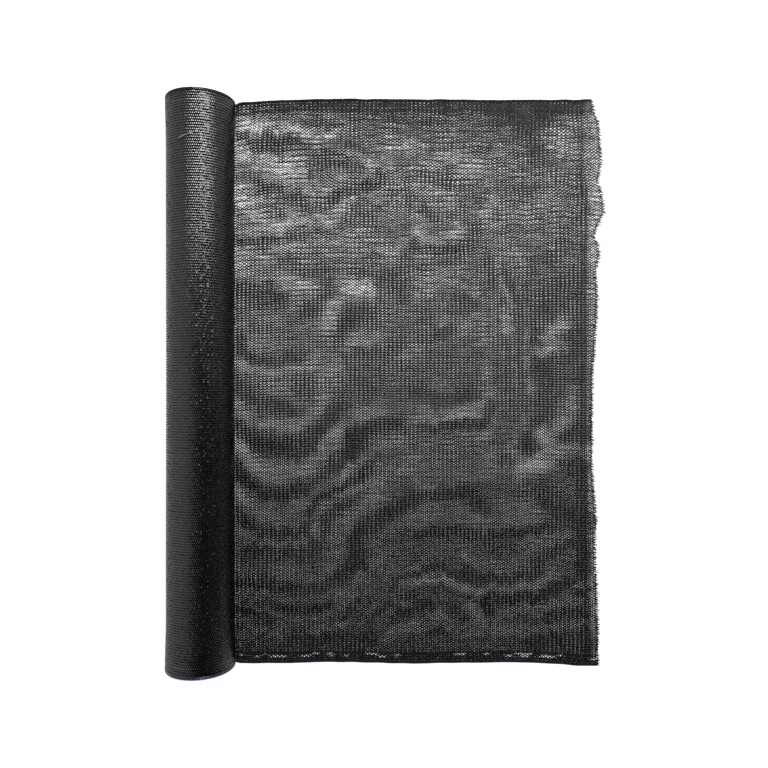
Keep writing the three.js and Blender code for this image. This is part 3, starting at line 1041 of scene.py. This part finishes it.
loose_chain_half = 0.062
loose_girth = {0.3: 1.25, 0.55: 1, 0.7: 0.9, 1: 0.85}
loose_chain = [
    {"along": -0.25, "spread": 0.045, "lift": 0.0008},
    {"along": 0.95, "spread": 0.15, "lift": 0.0011},
]
lean = stitch_lean * draw.normal(0, 1, (wales, sheet_courses))
girth = table_at(loose_girth, np.arange(wales) / wales)
along, wale, lift = chain_grid(girth, sheet_courses, loose_chain, loose_chain_half, 0, lean)
chain_points = loose_place(along, wale, lift).reshape(-1, 3)
all_chains = strip_faces(2 * wales * sheet_courses, len(loose_chain))
faces = kept_stitches(chain_points, all_chains)
loose_chains = new_piece("loose_chains", chain_points, faces, laid_black, chain_points[:, :2])
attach(loose_chains, "root")

# Selvages of the loose end
# The same heavier chains along both long edges of the sheet, blue-black on the lower one. They are knitted
# in with the cloth and run a little past its last whole stitches.
upper_cords = [wales - 1.1, wales - 1.5]
selvage_past = 0.01
selvage_navy = yarn_material("selvage_navy", dark=(0.0008, 0.003, 0.01), light=(0.002, 0.006, 0.02),
                             smooth=0.5, rough=0.6, shine=0.12)
for name, cords, material in (("lower_selvage", lower_cords, selvage_navy),
                              ("upper_selvage", upper_cords, selvage_black)):
    along, wale, lift = cord_grid(cords, sheet_courses)
    points = loose_place(along, wale, lift).reshape(-1, 3)
    faces = kept_stitches(points, cord_faces(cords, sheet_courses), selvage_past)
    selvage = new_piece(name, points, faces, material, points[:, :2])
    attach(selvage, "root")

# Frayed end
# Where the cloth was cut across, the last stitches have gone slack and short ends of yarn stick out of
# them. The ends are still held by the whole stitches and lie on the ground, some longer than others.
strands = 2 * gaps
strand_steps = 5
strand_half = 0.0005
strand_taper = 0.3
strand_scatter = 0.4
strand_line = reach - 0.03
strand_root = 0.005
strand_high = 0.0009
strand_low = 0.0003
tip_past = 0.0016
tip_spread = 0.0015
stray_share = 0.03
stray_reach = 0.003
strand_lean = -0.28
strand_lean_low = 0.2
strand_lean_spread = 0.1
slack_tape_end = fray_depth - 0.0012
slack_chain_end = fray_depth + 0.0004


def strand_rows():
    """Edge points of the loose yarn ends, each from inside the slack stitches out past the cut."""
    place = np.arange(strands) + 0.5 + strand_scatter * draw.normal(0, 1, strands)
    share = np.clip(place / strands, 0, 1)
    y0 = across_y(np.full(strands, strand_line), share)
    cut = last_stitch(y0) + fray_depth
    root = cut - strand_root
    stray = stray_reach * (draw.uniform(0, 1, strands) < stray_share)
    tip = cut + tip_past + stray + tip_spread * draw.normal(0, 1, strands)
    lean = strand_lean + strand_lean_low * (0.5 - 0.5 * y0 / half_span)
    lean = lean + strand_lean_spread * draw.normal(0, 1, strands)
    part = np.linspace(0, 1, strand_steps)[None, :]
    x = root[:, None] + (tip - root)[:, None] * part
    y = y0[:, None] + lean[:, None] * (x - root[:, None])
    z = strand_high * (1 - part) + strand_low + 0 * y
    half = strand_half * (1 - strand_taper * part ** 4) + 0 * y
    edges = [np.stack([x, y + side * half, z], axis=-1) for side in (-1, 1)]
    return np.stack(edges, axis=-2).reshape(-1, 3)


def slack_stitches(points, faces, end):
    """Faces past the last whole stitches, where the knit has slackened but still holds."""
    middle = points[faces].mean(axis=1)
    past = middle[:, 0] - last_stitch(middle[:, 1])
    return faces[(past >= 0) & (past < end)]


fray_black = yarn_material("fray_black", dark=(0.002, 0.002, 0.0025), light=(0.006, 0.006, 0.007),
                           smooth=0.4, rough=0.6, shine=0.25)
strand_points = strand_rows()
slack_tapes = slack_stitches(tape_points, all_tapes, slack_tape_end)
slack_chains = slack_stitches(chain_points, all_chains, slack_chain_end)
fray_points = np.vstack([strand_points, tape_points, chain_points])
fray_faces = np.vstack([strip_faces(strands, strand_steps), slack_tapes + len(strand_points),
                        slack_chains + len(strand_points) + len(tape_points)])
frayed_yarn = new_piece("frayed_yarn", fray_points, fray_faces, fray_black, fray_points[:, :2])
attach(frayed_yarn, "root")
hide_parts("frayed_end")

# Floor
# A plain white floor under the cloth, wide enough to fill every view. It glows of its own, so that it
# stays white while the lamps are set for the black cloth.
floor_half = 12
floor_corners = floor_half * np.array([(-1, -1, 0), (1, -1, 0), (1, 1, 0), (-1, 1, 0)])
floor_white = plain_material("floor_white", {
    "Base Color": (0.35, 0.35, 0.35, 1), "Roughness": 0.9, "Specular IOR Level": 0.1,
    "Emission Color": (1, 1, 1, 1), "Emission Strength": 0.85})
floor = add_mesh("floor", floor_corners, [(0, 1, 2, 3)], floor_white)

# Backdrop
# A pale ring of studio paper round the floor. It stands behind the cloth in the views from the side, and
# gives and takes no light.
backdrop_height = 9
backdrop_sides = 64
turn = angles(backdrop_sides)
backdrop_ring = np.column_stack([floor_half * np.cos(turn), floor_half * np.sin(turn), 0 * turn])
backdrop_points = np.vstack([backdrop_ring, backdrop_ring + np.array([0, 0, backdrop_height])])
backdrop_pale = plain_material("backdrop_pale", {
    "Base Color": (0, 0, 0, 1), "Specular IOR Level": 0,
    "Emission Color": (1, 1, 1, 1), "Emission Strength": 0.86})
backdrop_pale.cycles.emission_sampling = "NONE"
backdrop = add_mesh("backdrop", backdrop_points, grid_faces(2, backdrop_sides), backdrop_pale)
backdrop.visible_diffuse = False
backdrop.visible_glossy = False
backdrop.visible_transmission = False
backdrop.visible_shadow = False

# Studio light
# One strong soft box high up beyond the upper selvage, weak panels at the left, low at the left and at the
# right, a low one beyond the lower selvage that fills the shadows, and a dim even surround.
panels = [
    {"name": "key", "place": (0.65, 1.6, 2.1), "size": (1.0, 0.9), "glow": 36},
    {"name": "left", "place": (-1.55, 0.1, 1.75), "size": (3.2, 1.9), "glow": 1.4},
    {"name": "low_left", "place": (-2.3, 0, 0.8), "size": (3.6, 1.5), "glow": 0.45},
    {"name": "right", "place": (1.9, 1.0, 0.9), "size": (1.4, 1.2), "glow": 2},
    {"name": "fill", "place": (0.3, -2.4, 0.5), "size": (2.6, 0.8), "glow": 1},
]
surround_glow = 0.04
for panel in panels:
    lamp = bpy.data.lights.new(panel["name"], "AREA")
    lamp.shape = "RECTANGLE"
    lamp.size = panel["size"][0]
    lamp.size_y = panel["size"][1]
    lamp.energy = panel["glow"] * math.pi * panel["size"][0] * panel["size"][1]
    light = add_object(panel["name"], lamp)
    light.location = panel["place"]
    light.rotation_euler = (-light.location).to_track_quat("-Z", "Y").to_euler()
    light.visible_camera = False

surround = bpy.data.worlds.new("surround")
surround.use_nodes = True
set_inputs(surround.node_tree.nodes["Background"], {"Color": (1, 1, 1, 1), "Strength": surround_glow})
bpy.context.scene.world = surround
bpy.context.scene.view_settings.view_transform = "Standard"

# Camera
# Straight above the cloth, a little over a metre up, as the photo was taken. Its pixel filter is
# about as soft as the photo's.
camera_height = 1.1
camera_aside = (-0.0103, -0.00285)
sensor_width = 36
focal_length = 31.78
pixel_softness = 1.6
camera_lens = bpy.data.cameras.new("camera")
camera_lens.sensor_width = sensor_width
camera_lens.lens = focal_length
camera = add_object("camera", camera_lens)
camera.location = (*camera_aside, camera_height)
bpy.context.scene.camera = camera
bpy.context.scene.cycles.use_denoising = False
bpy.context.scene.cycles.filter_width = pixel_softness
